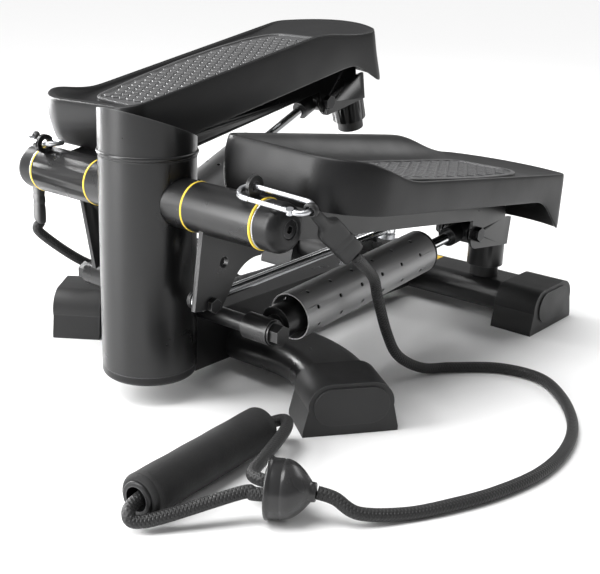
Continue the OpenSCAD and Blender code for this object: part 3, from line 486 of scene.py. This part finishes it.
def contains(points, x, y):
    """Whether a point lies inside a closed outline."""
    inside = False
    for (x0, y0), (x1, y1) in zip(points, points[1:] + points[:1]):
        if (y0 > y) != (y1 > y) and x < (x1 - x0) * (y - y0) / (y1 - y0) + x0:
            inside = not inside
    return inside


def tread_cell(x, y, base, top, radius):
    """One raised scale: a hexagon with a chamfered top that falls towards the heel."""
    rings = []
    for scale, height in ((1.0, base), (0.97, top - 0.5), (0.86, top)):
        turn = [math.radians(60 * k + 30) for k in range(6)]
        slope = CELL_SLOPE if height > base else 0
        rings.append([
            (x + radius * scale * math.cos(a), y + radius * scale * math.sin(a),
             height - slope * (1 + math.sin(a)))
            for a in turn
        ])
    return loft(rings)


def build_tread(side):
    """Rubber insert with a rolled border, a groove inside it and a field of scales."""
    edge = rounded(PAD_CORNERS, PAD_ROUND)
    steps = [(0, -0.6), (0, 1.7), (0.4, 2.3), (1.0, 2.6), (3.2, 2.6), (3.8, 2.3), (4.2, PAD_FLOOR),
             (5.5, PAD_FLOOR)]
    rings = [[(*p, FLOOR_W + w) for p in inset(edge, d)] for d, w in steps]
    parts = [loft(rings)]
    field = inset(edge, FIELD_MARGIN)
    row_step = CELL_PITCH * math.sqrt(3) / 2
    for row in range(CELL_ROWS):
        y = FIRST_CELL[1] + row * row_step
        for column in range(CELL_COLUMNS):
            x = FIRST_CELL[0] + (column + 0.5 * (row % 2)) * CELL_PITCH
            if contains(field, x, y):
                top = FLOOR_W + CELL_TOP + random.uniform(-0.08, 0.08)
                parts.append(tread_cell(x, y, FLOOR_W + PAD_FLOOR - 0.1, top, CELL_R))
    shape = piece(f"tread_{side}", join_parts(*parts), TREAD, pedal_place(side), smooth=False)
    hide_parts(f"tread_pad_{side}")
    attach(shape, f"pedal_{side}")


# ---------------------------------------------------------------- cords, cuffs, grips and stoppers

CORD_R = 4.5
CORD_LIE = 4.8        # height of a cord's middle where it lies on the floor
BRAID_TURN = 2.6
GRIP_LEN, GRIP_R, CORE_R, CORE_IN_R = 132, 16, 12, 8.5
ROLL_R = 4            # rounding of the foam's ends
GRIP_AT = {"left": (139.5, -80, 4.8), "right": (80, 258, 2)}      # middle and turn in degrees
STOP_AT = {"left": (202, -86, -59), "right": (122, 209, -90)}
STOP_R, STOP_LEN = 21, 32
STOP_Z = STOP_R + 0.4
CUFF_LEN = 76
CUFF_HEADING = {"left": (-6, 37), "right": (68, 90)}            # yaw outwards and drop, degrees
CUFF_ROLL = {"left": 24, "right": 0}
NECK_WIDE, BLOCK_POWER = 6, 0.45
END_GAP = 0.4


def heading(yaw, drop):
    """Unit vector from rearward, turned outwards by yaw and down by drop."""
    yaw, drop = math.radians(yaw), math.radians(drop)
    return Vector((math.cos(drop) * math.sin(yaw), math.cos(drop) * math.cos(yaw), -math.sin(drop)))


def mirror(side):
    """The right side's pieces are made on the left and mirrored."""
    return Matrix.Diagonal((SIDES[side], 1, 1, 1))


def joint_at(name, side):
    """A joint's place in mm, on the unmirrored side."""
    joint = next(j for j in frame["joints"] if j["name"] == name)
    x, y, z = (1000 * c for c in joint["pos_m"])
    return Vector((x * SIDES[side], y, z))


def cuff_point(side, along):
    return joint_at(f"cord_cuff_{side}_hinge", side) + heading(*CUFF_HEADING[side]) * along


def flat_turn(point, degrees):
    """Frame at a point with +Y turned left by degrees, level."""
    return Matrix.Translation(point) @ Matrix.Rotation(math.radians(degrees), 4, "Z")


def stop_place(side):
    x, y, turn = STOP_AT[side]
    return flat_turn((x, y, STOP_Z), turn)


def grip_place(side):
    x, y, turn = GRIP_AT[side]
    return flat_turn((x, y, GRIP_R + 0.3), turn)


def stop_point(side, across, along, drop=0.0):
    """Point in the stopper's own frame, whose Y runs from its rim to its neck."""
    return stop_place(side) @ Vector((across, along, -drop))


def grip_point(side, along, shift=(0, 0, 0)):
    """Point on the grip's axis, moved by shift."""
    return grip_place(side) @ Vector((0, along, 0)) + Vector(shift)


def cord_routes(side):
    """(drop from the cuff to the stopper, loop through the grip) as lists of points."""
    half = GRIP_LEN / 2
    neck = STOP_LEN
    if side == "left":
        floor_turn = [(163, 206), (194, 234), (231, 239), (264, 214), (293, 173), (308, 129), (311, 83),
                      (302, 38), (288, 2), (272, -28)]
        drop = [cuff_point(side, CUFF_LEN + END_GAP), cuff_point(side, CUFF_LEN + 12), (138, 113, 103),
                (137, 123, 82), (139, 137, 48), (142, 152, 25), (149, 180, 8)]
        drop += [(x, y, CORD_LIE) for x, y in floor_turn]
        drop += [stop_point(side, 0, neck + 28, 12), stop_point(side, 0, neck + 12, 3),
                 stop_point(side, 0, neck + END_GAP)]
        loop_in = [stop_point(side, 10, -END_GAP), stop_point(side, 10, -8), stop_point(side, 11, -16)]
        loop_out = [grip_point(side, half + 2, (22, 0, 5)), stop_point(side, -44, -9, 1),
                    stop_point(side, -17, -13), stop_point(side, -9, -6), stop_point(side, -9, -END_GAP)]
    else:
        drop = [cuff_point(side, CUFF_LEN + END_GAP), cuff_point(side, CUFF_LEN + 10), (148, 54, 66),
                (137, 86, 52), (131, 120, 44), (136, 146, 20), (154, 164, 7),
                (170, 186, CORD_LIE), stop_point(side, 0, neck + 20, 7), stop_point(side, 0, neck + 9, 1),
                stop_point(side, 0, neck + END_GAP)]
        loop_in = [stop_point(side, 10, -END_GAP), stop_point(side, 10, -6), stop_point(side, 10, -11)]
        loop_out = [grip_point(side, half - 4, (23, 0, -8)), grip_point(side, 0, (23, 0, -11.5)),
                    stop_point(side, -10, -14), stop_point(side, -10, -7),
                    stop_point(side, -10, -END_GAP)]
    through = [
        grip_point(side, -half - 4, (14, -2, -8)), grip_point(side, -half - 12, (3, 0, -4)),
        grip_point(side, -half + 6), grip_point(side, 0), grip_point(side, half - 6),
        grip_point(side, half + 14, (8, 2, 2)),
    ]
    return drop, loop_in + through + loop_out


def spline(points, steps):
    """Smooth curve through the points."""
    points = [Vector(p) for p in points]
    points = [points[0], *points, points[-1]]
    curve = []
    for a, b, c, d in zip(points, points[1:], points[2:], points[3:]):
        for k in range(steps):
            t = k / steps
            curve.append(0.5 * (2 * b + (c - a) * t + (2 * a - 5 * b + 4 * c - d) * t * t
                                + (3 * b - a - 3 * c + d) * t ** 3))
    return curve + [points[-1]]


def tube(name, path, radius, finish, sides=20):
    """Round cord along a path, with a map whose U counts braid turns along it and V runs around it."""
    rings, lengths = [], [0.0]
    normal = None
    for i, here in enumerate(path):
        ahead = (path[min(i + 1, len(path) - 1)] - path[max(i - 1, 0)]).normalized()
        if normal is None:
            normal = ahead.orthogonal().normalized()
        normal = (normal - ahead * normal.dot(ahead)).normalized()
        across = ahead.cross(normal)
        rings.append([tuple(here + radius * (normal * math.cos(a) + across * math.sin(a)))
                      for a in full_turn(sides)])
        if i:
            lengths.append(lengths[-1] + (here - path[i - 1]).length)
    shape = piece(name, loft(rings), finish)
    chart = shape.data.uv_layers.new(name="UVMap")
    for face in shape.data.polygons:
        columns = [shape.data.loops[k].vertex_index % sides for k in face.loop_indices]
        wraps = max(columns) - min(columns) > sides / 2
        for k, column in zip(face.loop_indices, columns):
            ring = min(shape.data.loops[k].vertex_index // sides, len(path) - 1)
            around = column + sides if wraps and column < sides / 2 else column
            chart.data[k].uv = (lengths[ring] / BRAID_TURN, around / sides)
    return shape


def build_cords():
    """Each cord lies on the floor; its hanging part stays where it is built, and its loop through the grip rides
    on the frame.
    """
    for side in SIDES:
        drop, loop = (spline([mirror(side) @ Vector(p) for p in route], 10) for route in cord_routes(side))
        hanging = tube(f"cord_{side}", drop, CORD_R, LOOKS["cord_fabric"])
        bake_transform(hanging)
        handle_loop = tube(f"cord_loop_{side}", loop, CORD_R, LOOKS["cord_fabric"])
        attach(handle_loop, "frame")
        if side == "left":
            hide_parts("cords")


def build_cuff(side):
    """Moulded cuff: a ring round the hook's wire, a neck and a flat block with ribs.

    Each section is (distance from the wire, half width, half thickness); the block's are nearly square.
    """
    sections = [(4.2, 3.2, 3.2), (8, 4, 4), (14, 4.4, 4.4), (22, 4.6, 4.6), (26, 6.5, 4.2), (29, 9.6, 3.9),
                (31, 10, 4), (48, 10, 4), (49, 9.3, 3.5), (51, 9.3, 3.5), (52, 10, 4), (56, 10, 4),
                (57, 9.3, 3.5), (59, 9.3, 3.5), (60, 10, 4), (73, 10, 4), (75, 9.4, 3.4), (76, 8, 2.6)]
    steps = 40
    rings = []
    for along, wide, thick in sections:
        ring = []
        power = BLOCK_POWER if wide > NECK_WIDE else 1.0
        for a in full_turn(steps):
            c, s = math.cos(a), math.sin(a)
            ring.append((thick * math.copysign(abs(c) ** power, c), along,
                         wide * math.copysign(abs(s) ** power, s)))
        rings.append(ring)
    yaw, drop = CUFF_HEADING[side]
    end = joint_at(f"cord_cuff_{side}_hinge", side)
    turn = Matrix.Translation(end) @ Matrix.Rotation(math.radians(-yaw), 4, "Z")
    turn = turn @ Matrix.Rotation(math.radians(-drop), 4, "X")
    turn = turn @ Matrix.Rotation(math.radians(CUFF_ROLL[side]), 4, "Y")
    shape = piece(f"cuff_{side}", loft(rings), LOOKS["black_rubber"], mirror(side) @ turn)
    subdivide(shape)
    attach(shape, f"cord_cuff_{side}")
    ring_shape = piece(f"cuff_eye_{side}", torus(4.3, 1.25), LOOKS["black_rubber"], eye_place(side, end))
    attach(ring_shape, f"cord_cuff_{side}")
    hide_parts(f"cord_cuff_{side}")


def eye_place(side, end):
    """Frame whose Y runs along the hook's wire at the cuff's eye."""
    joint = next(j for j in frame["joints"] if j["name"] == f"cord_cuff_{side}_hinge")
    wire = Vector(joint["axis"])
    turn = Vector((0, 1, 0)).rotation_difference(wire).to_matrix().to_4x4()
    return Matrix.Translation(mirror(side) @ end) @ turn


def build_grip(side):
    """Foam sleeve with rolled ends over a plastic core that shows at both ends."""
    half = GRIP_LEN / 2
    place = mirror(side) @ grip_place(side)
    roll = [(GRIP_R - ROLL_R + ROLL_R * math.cos(math.radians(a)),
             half - ROLL_R + ROLL_R * math.sin(math.radians(a))) for a in range(0, 91, 15)]
    body = [(GRIP_R + 0.12 * math.sin(k), half - ROLL_R - (GRIP_LEN - 2 * ROLL_R) * k / 24)
            for k in range(25)]
    foam_profile = [(CORE_R, half), *reversed(roll), *body, *((r, -y) for r, y in roll), (CORE_R, -half)]
    sleeve = piece(f"foam_{side}", lathe(foam_profile, False), LOOKS["grip_foam"], place)
    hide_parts(f"grip_foam_{side}")
    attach(sleeve, f"grip_{side}")
    end = half + 2
    lip = [(CORE_IN_R, end), (CORE_R - 1, end), (CORE_R - 0.3, end - 0.4), (CORE_R - 0.1, end - 1.2)]
    core_profile = [*((r, -y) for r, y in lip), *reversed(lip), (CORE_IN_R, -end)]
    core = piece(f"core_{side}", lathe(core_profile, False), LOOKS["black_plastic"], place)
    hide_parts(f"grip_core_{side}")
    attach(core, f"grip_{side}")


def build_stopper(side):
    """Bell with a flat rim band, a shoulder line and a small neck where the cord enters."""
    band_r, dome_from, dome_len, neck_r, steps = 19.6, 11.2, 17.6, 6.6, 12
    profile = [(0.5, 0), (20, 0), (20.8, 0.5), (STOP_R, 1.3), (20.8, 2.2), (19.9, 2.9), (band_r, 4),
               (19.7, 9.6), (19.3, 10.1), (19.3, 10.7), (band_r, dome_from)]
    for k in range(1, steps + 1):
        t = k / steps
        profile.append((neck_r + (band_r - neck_r) * (1 - t ** 1.9), dome_from + dome_len * t))
    profile += [(6.5, 30), (6.3, 31.4), (5.6, STOP_LEN), (0.5, STOP_LEN)]
    shape = piece(f"stopper_{side}", lathe(profile), STOPPER, mirror(side) @ stop_place(side))
    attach(shape, "frame")
    if side == "left":
        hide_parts("cord_stoppers")


# ---------------------------------------------------------------- studio

AMBIENT = 0.32
CAMERA_AT = (0.5934, -0.5498, 0.3621)
CAMERA_TURN, CAMERA_PITCH, CAMERA_ROLL = 38.63, 18.56, 2.13
LENS, SENSOR = 63.57, 36


def build_floor():
    """Pale sheet, far wider than the part."""
    half = 14
    corners = [(-half, -half, 0), (half, -half, 0), (half, half, 0), (-half, half, 0)]
    mesh = bpy.data.meshes.new("floor")
    mesh.from_pydata(corners, [], [(0, 1, 2, 3)])
    floor = bpy.data.objects.new("floor", mesh)
    finish = bpy.data.materials.new("floor white")
    finish.use_nodes = True
    shader = finish.node_tree.nodes["Principled BSDF"]
    shader.inputs["Base Color"].default_value = (0.9, 0.9, 0.9, 1)
    shader.inputs["Roughness"].default_value = 0.55
    mesh.materials.append(finish)
    bpy.context.scene.collection.objects.link(floor)


def add_light(name, at, target, size, power):
    """Soft box that faces a target."""
    lamp = bpy.data.lights.new(name, "AREA")
    lamp.shape = "RECTANGLE"
    lamp.size, lamp.size_y = size
    lamp.energy = power
    holder = bpy.data.objects.new(name, lamp)
    holder.location = at
    holder.rotation_euler = (Vector(target) - Vector(at)).to_track_quat("-Z", "Y").to_euler()
    bpy.context.scene.collection.objects.link(holder)


def build_light():
    """Dim surroundings that the camera sees as white, a broad ceiling light and three soft boxes."""
    world = bpy.data.worlds.new("studio")
    world.use_nodes = True
    sky = world.node_tree.nodes["Background"]
    sky.inputs["Color"].default_value = (1, 1, 1, 1)
    seen = node(world.node_tree, "LightPath").outputs["Is Camera Ray"]
    strength = remap(world.node_tree, seen, 0.0, 1.0, AMBIENT, 1.0)
    world.node_tree.links.new(strength, sky.inputs["Strength"])
    bpy.context.scene.world = world
    middle = (0, 0.15, 0.12)
    sun = bpy.data.lights.new("ceiling", "SUN")
    sun.angle = math.radians(38)
    sun.energy = 2.8
    holder = bpy.data.objects.new("ceiling", sun)
    holder.rotation_euler = Vector((0.22, 0.3, -1)).to_track_quat("-Z", "Y").to_euler()
    bpy.context.scene.collection.objects.link(holder)
    add_light("front left", (-0.75, -1.35, 0.75), middle, (0.55, 1.3), 38)
    add_light("left strip", (-1.5, 0.1, 0.5), (0, 0, 0.1), (0.25, 1.2), 34)
    add_light("rear", (0.5, 1.7, 1.0), middle, (1.4, 0.4), 7)


def build_camera():
    """Camera turned left of +Y, pitched down and rolled, in degrees."""
    turn, pitch, roll = (math.radians(a) for a in (CAMERA_TURN, CAMERA_PITCH, CAMERA_ROLL))
    forward = Vector((-math.sin(turn) * math.cos(pitch), math.cos(turn) * math.cos(pitch), -math.sin(pitch)))
    right = Vector((math.cos(turn), math.sin(turn), 0))
    up = right.cross(forward)
    right, up = right * math.cos(roll) + up * math.sin(roll), up * math.cos(roll) - right * math.sin(roll)
    lens = bpy.data.cameras.new("camera")
    lens.lens = LENS
    lens.sensor_width = SENSOR
    lens.sensor_fit = "HORIZONTAL"
    lens.clip_start = 0.01
    holder = bpy.data.objects.new("camera", lens)
    turned = Matrix((right, up, -forward)).transposed().to_4x4()
    holder.matrix_world = Matrix.Translation(CAMERA_AT) @ turned
    bpy.context.scene.collection.objects.link(holder)
    bpy.context.scene.camera = holder
    bpy.context.scene.view_settings.view_transform = "Standard"


paint_frame()
for side_name in SIDES:
    build_tray(side_name)
    build_tread(side_name)
    build_cuff(side_name)
    build_grip(side_name)
    build_stopper(side_name)
build_cords()
build_seam()
build_floor()
build_light()
build_camera()
